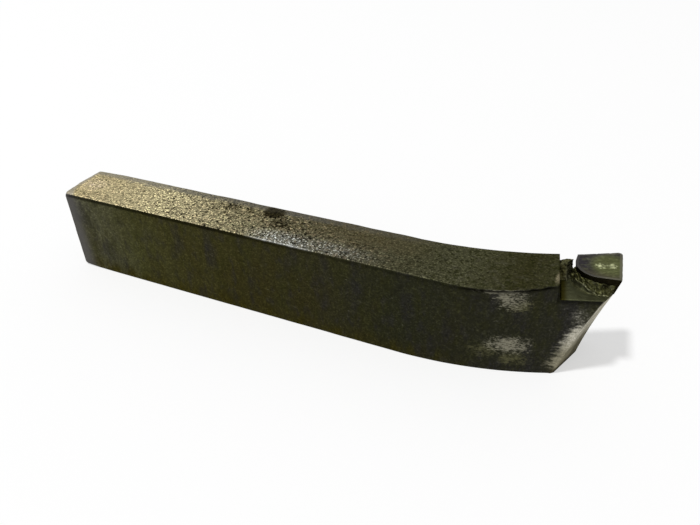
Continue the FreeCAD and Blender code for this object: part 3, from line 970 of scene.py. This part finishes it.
class ShankSurface:
    """What the shank's colours share: its graph, places and grain."""

    def __init__(self, g, grain, stains, streaks):
        self.g = g
        self.streaks = streaks
        self.at = g.place()
        self.x, self.y, self.z = (g.add("SeparateXYZ", {0: self.at}, output=axis) for axis in range(3))
        self.fine = g.use(grain, {"Vector": self.at, "Size": 0.46})
        self.other = g.use(grain, {"Vector": g.place(40.0), "Size": 0.7})
        upright = g.place(0.0, (1.0, 1.0, 0.45))
        self.broad = g.use(stains, {"Vector": upright, "Size": 8.0})
        self.small = g.use(stains, {"Vector": upright, "Size": 2.6})
        self.tint = g.use(stains, {"Vector": self.at, "Size": 1.0})
        self.near = g.less(g.step(self.y, 1.5, 3.5))

    def marks(self, angle, size, length):
        """Grinding marks along an angle in plan."""
        return self.g.use(self.streaks, {"Vector": self.g.place(angle), "Size": size, "Length": length})

    def side(self):
        """Dark scale in olive, brown and blue, yellower towards the base, greyer on the rounded rear, with
        painted shade just under the top edge.
        """
        g, x = self.g, self.x
        colour = g.ramp(x, -40.0, 70.0, SIDE_STOPS)
        colour = g.cover(colour, BROWN_SCALE, self.broad["Warm"], 0.4, g.below(x, 40.0, 64.0))
        colour = g.cover(colour, BLUE_SCALE, self.broad["Cool"], 0.5)
        colour = g.cover(colour, BLUE_SCALE, self.small["Cool"], 0.4)
        colour = g.cover(colour, GREEN_SCALE, self.small["Warm"], 0.35)
        low = g.times(g.below(self.z, 0.3, 4.5), g.plus(0.35, g.times(self.small["Warm"], 0.5)))
        colour = g.cover(colour, BASE_EDGE, low, g.below(x, 36.0, 62.0))
        colour = g.cover(colour, GREEN_SCALE, self.tint["Cool"], 0.3)
        colour = g.scaled(colour, g.plus(0.84, g.times(self.fine["Flecks"], 0.42)))
        colour = g.scaled(colour, g.plus(0.93, g.times(self.tint["Warm"], 0.28)))
        colour = g.darker(colour, self.fine["Pits"], 0.26)
        colour = g.cover(colour, REAR_GREY, g.mark("rear"), 0.85)
        # painted shade in a band just under the top edge
        rim_shade = g.times(g.step(self.z, 18.9, 19.35), g.below(x, 0.0, 30.0))
        return g.darker(colour, rim_shade, 0.6, g.step(x, -40.0, -38.0))

    def pitted(self):
        """Deep dark pits in the top, ragged at their edges."""
        g = self.g
        uneven = g.plus(g.sway(self.tint["Cool"], 0.5), g.times(self.other["Pits"], 0.45))
        return g.step(g.plus(g.spots(self.at, PITTED_SPOTS), uneven), 0.48, 0.92)

    def speckled(self, colour, light, smoother):
        """The top's dark pits and bright flecks, strongest over its pale half; the bright flecks are partly
        painted glints.
        """
        g, x = self.g, self.x
        strength = g.plus(g.times(light, 0.55), g.plus(0.75, g.times(g.step(x, 48.0, 60.0), -0.25)))
        strength = g.times(strength, g.less(g.times(g.below(x, -30.0, -12.0), 0.35)))
        strength = g.times(strength, g.plus(1.0, g.times(g.within(x, -14.0, 12.0, 8.0), 0.12)))
        strength = g.times(strength, g.less(g.times(smoother, 0.4)))
        colour = g.darker(colour, self.fine["Pits"], strength, 0.76)
        colour = g.darker(colour, self.other["Pits"], strength, 0.4)
        # bright flecks: the scale's pale grains, partly painted glints
        return g.scaled(colour, g.plus(0.92, g.times(self.fine["Flecks"], strength, 1.4)))

    def rims(self, colour, pitted):
        """Smooth grey along the top's far rim, and a pale rear rim."""
        g, x, y = self.g, self.x, self.y
        far = g.times(g.step(g.plus(y, g.times(self.small["Warm"], 0.7)), 3.6, 5.0), g.below(x, 30.0, 55.0))
        far = g.times(far, g.less(g.times(pitted, 0.8)))
        mottled = g.times(g.step(x, 12.0, 32.0), g.plus(0.4, g.times(self.tint["Warm"], 0.5)))
        grey = g.mix(g.step(x, -38.0, -2.0), FAR_GREY_REAR, FAR_GREY)
        colour = g.cover(colour, grey, far, g.less(mottled), 0.72)
        behind = g.plus(x, g.times(g.below(y, -6.2, -2.2), -1.6))
        rear = g.below(g.plus(behind, g.times(self.small["Warm"], 0.4)), -39.5, -38.6)
        return g.cover(colour, REAR_RIM, rear, 0.8)

    def top(self):
        """Blasted top: pale speckle at the rear, partly painted reflection; pits and a blot along the far
        edge; darker at the head; painted sparkle and glint.
        """
        g, x, y = self.g, self.x, self.y
        light = g.below(x, 18.0, 50.0)
        # ramp whose pale rear is partly a painted reflection
        colour = g.ramp(x, -40.0, 70.0, TOP_STOPS)
        colour = g.cover(colour, WARM_FLECK, self.tint["Warm"], light, 0.25)
        colour = g.cover(colour, GREEN_FLECK, self.tint["Cool"], light, 0.22)
        brown = g.times(g.within(x, -1.0, 30.0, 12.0), g.step(y, -3.5, 2.5))
        brown = g.times(brown, g.plus(0.4, g.times(self.small["Warm"], 0.6)))
        brown = g.times(brown, g.plus(0.45, self.other["Pits"]))
        colour = g.cover(colour, STAIN_BROWN, brown, 0.8)
        pitted = self.pitted()
        colour = g.cover(colour, PITTED_DARK, pitted, 0.92)
        smoother = g.times(g.within(x, 26.0, 40.0, 9.0), g.step(y, -1.8, 1.2))
        colour = g.cover(colour, FAR_BROWN, smoother, 0.45)
        # painted sparkle highlights in two strips along the near half of the top
        bright = g.spots(self.at, SPARKLE_STRIPS)
        colour = g.cover(colour, SPARKLE_HIGHLIGHT, bright, g.plus(0.25, g.times(self.fine["Flecks"], 0.65)))
        # painted glint, warm white, near the rear of the top
        rear = g.spots(self.at, REAR_GLINT_SPOTS)
        colour = g.cover(colour, REAR_GLINT, rear, g.plus(0.2, g.times(self.tint["Warm"], 0.6)))
        cast = g.times(g.less(light), g.step(x, 40.0, 50.0))
        colour = g.cover(colour, HEAD_OLIVE, cast, self.small["Cool"], 0.5)
        colour = g.cover(colour, HEAD_PITS, cast, self.other["Pits"], 0.6)
        return self.rims(self.speckled(colour, light, smoother), pitted)

    def worn(self):
        """How far the scale is rubbed through on the head's near side, to the steel and to an olive skin."""
        g = self.g
        rubbed, drift = self.marks(LEDGE_ANGLE, 0.24, 0.6), self.marks(LEDGE_ANGLE, 1.2, 2.4)
        noise = g.plus(g.sway(rubbed["Height"], 3.2), g.sway(drift["Height"], 2.0))
        noise = g.plus(noise, g.times(self.fine["Pits"], -0.25))
        covers = []
        for patches in (BARE_PATCHES, OLIVE_PATCHES):
            cover = g.spots(self.at, patches, axes=(0, 2))
            rubbed = g.step(g.plus(cover, noise), 0.25, 1.45)
            covers.append(g.times(rubbed, g.step(cover, 0.03, 0.35), self.near))
        return covers

    def ground(self):
        """How far the nose is ground bright: its faces, feathered back over the near side."""
        g, z = self.g, self.z
        marks = self.marks(LEDGE_ANGLE, 0.45, 1.3)
        back = g.plus(g.mark("behind_nose"), g.times(g.less(self.near), 2.0))
        back = g.plus(back, g.times(g.step(z, 3.5, 7.0), -0.3))
        back = g.plus(back, g.times(g.step(z, 9.5, 13.5), 0.9))
        back = g.plus(back, g.times(g.below(z, 0.5, 2.8), 0.9))
        strong = g.below(g.plus(back, g.sway(marks["Height"], -3.6)), 0.25, 1.9)
        faint = g.plus(g.spots(self.at, NOSE_SCUFF, axes=(0, 2)), g.sway(marks["Height"], 2.4))
        faint = g.times(g.step(faint, 0.25, 1.3), g.plus(0.2, g.times(self.fine["Flecks"], 0.45)), self.near)
        bright = g.times(g.most(strong, faint), g.below(z, 15.3, 16.2))
        on_nose = g.below(g.mark("behind_nose"), 0.02, 0.25)
        return g.times(g.most(on_nose, bright), g.less(g.mark("pocket")))

    def ground_colour(self):
        """Bright ground steel, with a painted highlight on its upper part, burnt brown along the lower part
        of its end edge and at its foot.
        """
        g, z = self.g, self.z
        marks = self.marks(bevel_angle, 0.3, 3.0)
        colour = g.mix(marks["Marks"], BEVEL_HOLLOW, BEVEL_STEEL)
        # painted highlight: brighter ground steel above about 9 mm
        colour = g.mix(g.step(z, 4.0, 9.0), colour, g.mix(marks["Marks"], BEVEL_HIGHLIGHT_HOLLOW, BEVEL_HIGHLIGHT_STEEL))
        burnt = g.step(g.plus(g.mark("past_bevel"), g.sway(marks["Height"], 0.8)), -3.6, -2.2)
        burnt = g.times(burnt, g.below(z, 6.0, 10.5), g.less(g.times(g.step(self.y, 2.0, 6.0), 0.5)))
        return g.cover(colour, BURNT_EDGE, g.most(burnt, g.below(z, 0.4, 1.7)), 0.88)


def from_wall(g, low, high):
    """Smooth step between two distances out from the foot of the pocket's wall."""
    out = g.add("SeparateXYZ", {0: g.place(wall_angle - 90)}, output=0)
    foot = float(wall_out @ wall_foot)
    return g.step(out, foot + low, foot + high)


def pocket_colour(g, blotches):
    """Floor of the pocket, and the film on it: greenish grey, with a painted shadow, nearly black, along the
    foot of its wall.
    """
    floor = g.cover(POCKET_FLOOR, POCKET_DARK, blotches, 0.5)
    # painted shadow of the pocket's wall along its foot
    return g.cover(floor, POCKET_WALL_SHADOW, g.less(from_wall(g, 0.5, 1.6)))


def shank_steel(grain, stains, streaks):
    """Forged and blasted steel: pale and speckled at the rear, dark towards the head, ground at the nose."""
    material, g = new_material("shank_steel")
    surface = ShankSurface(g, grain, stains, streaks)
    top, fine, small = g.mark("top_face"), surface.fine, surface.small
    colour = g.mix(top, surface.side(), surface.top())
    # pale line along the near top edge: worn edge, partly a painted highlight
    pale = g.times(g.mark("long_edge"), g.within(surface.x, 12.0, 22.0, 3.5), g.step(surface.z, 19.6, 19.9))
    colour = g.cover(colour, WORN_EDGE_HIGHLIGHT, pale, g.below(surface.y, -5.0, 0.0), g.plus(0.7, small["Cool"]), 0.45)
    bare, olive = surface.worn()
    colour = g.cover(colour, WORN_OLIVE, olive, g.less(top), 0.8)
    colour = g.cover(colour, WORN_STEEL, bare, g.less(top), 0.85)
    ground = surface.ground()
    colour = g.cover(colour, surface.ground_colour(), ground)
    colour = g.cover(colour, pocket_colour(g, small["Warm"]), g.mark("pocket"))
    # painted shadow under the lip and under the ledge
    colour = g.darker(colour, g.mark("lip_shadow"), 0.9)
    rubbed = g.spot(surface.at, (69.75, 2.9, 20.0), (0.65, 2.1, 1.5))
    colour = g.cover(colour, RUBBED_RIM, rubbed, g.plus(0.4, g.times(fine["Flecks"], 0.5)), 0.75)
    roughness = g.plus(g.plus(0.5, g.times(surface.broad["Cool"], 0.1)), g.times(fine["Height"], 0.15))
    height = g.times(fine["Height"], g.plus(0.12, g.times(top, 0.98)), g.less(g.times(ground, 0.7)))
    finish_surface(g, colour, roughness, height, 0.16, 0.92)
    return material


def tip_top(g, at, marks, fine, blots):
    """The tip's top: a painted reflection from grey-purple by its round corner to olive towards the nose,
    browner on the near side, two painted glints and a grey land.
    """
    x, y = (g.add("SeparateXYZ", {0: at}, output=axis) for axis in range(2))
    # painted reflection over the top: grey-purple to olive, browner on the near side
    colour = g.mix(g.step(g.spots(at, TIP_OLIVE_REFLECTION), 0.05, 0.7), TIP_PURPLE, TIP_OLIVE)
    colour = g.cover(colour, TIP_BROWN, g.below(y, 6.0, 8.6), 0.7)
    colour = g.cover(colour, TIP_BLOT, blots["Cool"], 0.3)
    noise = g.add("TexNoise", {"Vector": g.place(far_edge), "Scale": 1.0 / 0.45, "Detail": 2.0})
    speck = g.plus(g.sway(noise, 2.6), g.sway(marks["Height"], 1.2))
    # two painted glints on the top
    for place in TIP_GLINT_SPOTS:
        bright = g.spots(at, [place])
        bright = g.times(g.step(g.plus(bright, speck), 0.15, 1.45), g.step(bright, 0.0, 0.5))
        colour = g.cover(colour, TIP_GLINT, bright, 0.9)
    colour = g.scaled(colour, g.plus(0.86, g.times(fine["Flecks"], 0.35)))
    colour = g.darker(colour, fine["Pits"], 0.18)
    colour = g.scaled(colour, g.plus(0.78, g.times(marks["Marks"], 0.4)))
    land = g.mix(g.step(x, 74.5, 78.5), TIP_LAND, TIP_PALE)
    return g.cover(colour, land, g.within(g.mark("inset"), 0.1, 0.45, 0.15), 0.65)


def hard_metal(grain, stains, streaks):
    """Ground carbide: nearly black on its relieved sides, partly its own dark skin and partly painted shade,
    with a thin light edge round its top.
    """
    material, g = new_material("hard_metal")
    at = g.place()
    marks = g.use(streaks, {"Vector": g.place(far_edge), "Size": 0.2, "Length": 5.0})
    blots = g.use(stains, {"Vector": at, "Size": 1.4})
    fine = g.use(grain, {"Vector": g.place(far_edge, (0.45, 1.0, 1.0)), "Size": 0.42})
    top = g.mark("top_face")
    # relieved sides: dark unground carbide, partly painted shade
    side = g.mix(marks["Marks"], TIP_SHADE, TIP_SIDE_OXIDE_AND_SHADE)
    colour = g.mix(top, side, tip_top(g, at, marks, fine, blots))
    colour = g.cover(colour, TIP_EDGE, g.below(g.mark("inset"), 0.0, 0.08), top, 0.4)
    roughness = g.plus(0.38, g.times(marks["Height"], 0.2))
    finish_surface(g, colour, roughness, marks["Height"], 0.02, 0.9)
    return material


def lump_colour(g, at, fine):
    """The lump in the corner: dark by the wall, pale and flecked away from it, dark on top."""
    up = g.add("SeparateXYZ", {0: at}, output=2)
    colour = g.mix(from_wall(g, 0.4, 1.7), LUMP_DARK, LUMP_PALE)
    colour = g.mix(g.step(up, 18.8, 19.3), colour, LUMP_TOP)
    return g.cover(colour, LUMP_FLECK, from_wall(g, 1.0, 2.0), fine["Flecks"], 0.8)


def brazing_brass(grain, stains):
    """Dull brass run thick and lumpy, stained green-brown by the flux, with a painted highlight along its
    ridge where it stands proud.
    """
    material, g = new_material("brazing_brass")
    at = g.place()
    fine = g.use(grain, {"Vector": at, "Size": 0.5})
    blots = g.use(stains, {"Vector": at, "Size": 1.5})
    colour = g.mix(blots["Warm"], BRASS_OLIVE, BRASS_DARK)
    colour = g.cover(colour, BRASS_PALE, blots["Cool"], 0.5)
    colour = g.cover(colour, lump_colour(g, at, fine), g.mark("lump"), 0.75)
    colour = g.cover(colour, BRASS_FLECK, fine["Flecks"], 0.3)
    # painted highlight along the ridge's bead
    colour = g.cover(colour, BRASS_RIDGE_HIGHLIGHT, g.mark("bead"), g.plus(0.2, blots["Cool"]), 0.9)
    # painted shade on the run under the tip's near front corner
    colour = g.cover(colour, TIP_SHADE, g.spot(at, (77.6, 6.2, 18.3), (1.0, 1.5, 0.35)))
    colour = g.darker(colour, fine["Pits"], 0.4)
    colour = g.cover(colour, pocket_colour(g, blots["Warm"]), g.mark("film"))
    # painted shade in the hollow at the foot of the run, damping its highlight
    colour = g.darker(colour, g.mark("hollow"), 0.5)
    roughness = g.plus(g.plus(0.4, g.times(fine["Height"], 0.25)), g.times(g.mark("hollow"), 0.2))
    finish_surface(g, colour, roughness, fine["Height"], 0.08, 0.85)
    return material


# Studio
FLOOR_LIT, FLOOR_SEEN, FLOOR_GLOW = 0.80, 0.45, 0.535
WORLD_LEVEL = 0.38
KEY_DIRECTION = (-4.4, -3.3, 20.0)
KEY_DISTANCE = 3.0
KEY_SIZE = 0.34
KEY_LEVEL = 0.65
CAMERA_PLACE = (0.07658, -0.09591, 0.08926)
CAMERA_YAW, CAMERA_PITCH, CAMERA_ROLL = 26.06, 34.93, 2.30
LENS_PIXELS, FRAME_PIXELS, SENSOR = 642.0, 700.0, 36.0


def floor_and_world():
    """Pale floor and world: both white to the camera, and the floor keeps the tool's shadow."""
    bpy.ops.mesh.primitive_plane_add(size=4.0, location=(0.0, 0.0, 0.0))
    floor = bpy.context.object
    floor.name = "floor"
    material, g = new_material("floor_white")
    seen = g.add("LightPath", output="Is Camera Ray")
    lit = g.add("BsdfDiffuse", {"Color": (FLOOR_LIT, FLOOR_LIT, FLOOR_LIT, 1.0)})
    pale = g.add("BsdfDiffuse", {"Color": (FLOOR_SEEN, FLOOR_SEEN, FLOOR_SEEN, 1.0)})
    glow = g.add("Emission", {"Color": (1.0, 1.0, 1.0, 1.0), "Strength": FLOOR_GLOW})
    white = g.add("AddShader", {0: pale, 1: glow})
    g.add("OutputMaterial", {"Surface": g.add("MixShader", {0: seen, 1: lit, 2: white})})
    floor.data.materials.append(material)
    world = bpy.data.worlds.new("studio")
    bpy.context.scene.world = world
    world.use_nodes = True
    world.node_tree.nodes.clear()
    g = Graph(world.node_tree)
    rays = ("Is Camera Ray", "Is Glossy Ray", "Is Transmission Ray")
    plain = g.most(*(g.add("LightPath", output=ray) for ray in rays))
    strength = g.plus(WORLD_LEVEL, g.times(plain, 1.0 - WORLD_LEVEL))
    background = g.add("Background", {"Color": (1.0, 1.0, 1.0, 1.0), "Strength": strength})
    g.add("OutputWorld", {"Surface": background})


def key_light():
    """One soft lamp high over the near rear side. Its level is what a flat white floor gives back."""
    toward = np.array(KEY_DIRECTION) / np.linalg.norm(KEY_DIRECTION)
    data = bpy.data.lights.new("key", "AREA")
    data.shape = "DISK"
    data.size = KEY_SIZE
    data.energy = KEY_LEVEL * math.pi**2 * KEY_DISTANCE**2 / toward[2]
    lamp = bpy.data.objects.new("key", data)
    bpy.context.scene.collection.objects.link(lamp)
    aim(lamp, toward * KEY_DISTANCE, -toward)


def aim(item, place, forward):
    """Puts a lamp at a place, its beam along a direction."""
    item.location = place
    item.rotation_mode = "QUATERNION"
    item.rotation_quaternion = Vector(forward).to_track_quat("-Z", "Y")


def camera():
    """The photograph's viewpoint: yaw from +Y towards -X, pitch down, and a slight roll."""
    yaw, pitch, roll = (math.radians(angle) for angle in (CAMERA_YAW, CAMERA_PITCH, CAMERA_ROLL))
    forward = np.array([-math.sin(yaw) * math.cos(pitch), math.cos(yaw) * math.cos(pitch), -math.sin(pitch)])
    level = np.array([math.cos(yaw), math.sin(yaw), 0.0])
    down = np.cross(forward, level)
    right = math.cos(roll) * level + math.sin(roll) * down
    up = math.sin(roll) * level - math.cos(roll) * down
    data = bpy.data.cameras.new("camera")
    data.sensor_width = SENSOR
    data.lens = SENSOR * LENS_PIXELS / FRAME_PIXELS
    data.clip_start = 0.005
    item = bpy.data.objects.new("camera", data)
    item.matrix_world = Matrix([
        (right[0], up[0], -forward[0], CAMERA_PLACE[0]),
        (right[1], up[1], -forward[1], CAMERA_PLACE[1]),
        (right[2], up[2], -forward[2], CAMERA_PLACE[2]),
        (0.0, 0.0, 0.0, 1.0),
    ])
    bpy.context.scene.collection.objects.link(item)
    bpy.context.scene.camera = item


def main():
    grain, stains, streaks = scale_grain_group(), stain_group(), streak_group()
    pieces = (
        (tool_shank(shank_steel(grain, stains, streaks)), "tool_shank", "shank_steel"),
        (carbide_tip(hard_metal(grain, stains, streaks)), "carbide_tip", "hard_metal"),
        (braze_filler(brazing_brass(grain, stains)), "braze_filler", "brazing_metal"),
    )
    for piece, node, slot in pieces:
        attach(piece, "root")
        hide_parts(node)
    floor_and_world()
    key_light()
    camera()
    bpy.context.scene.view_settings.view_transform = "Standard"


main()
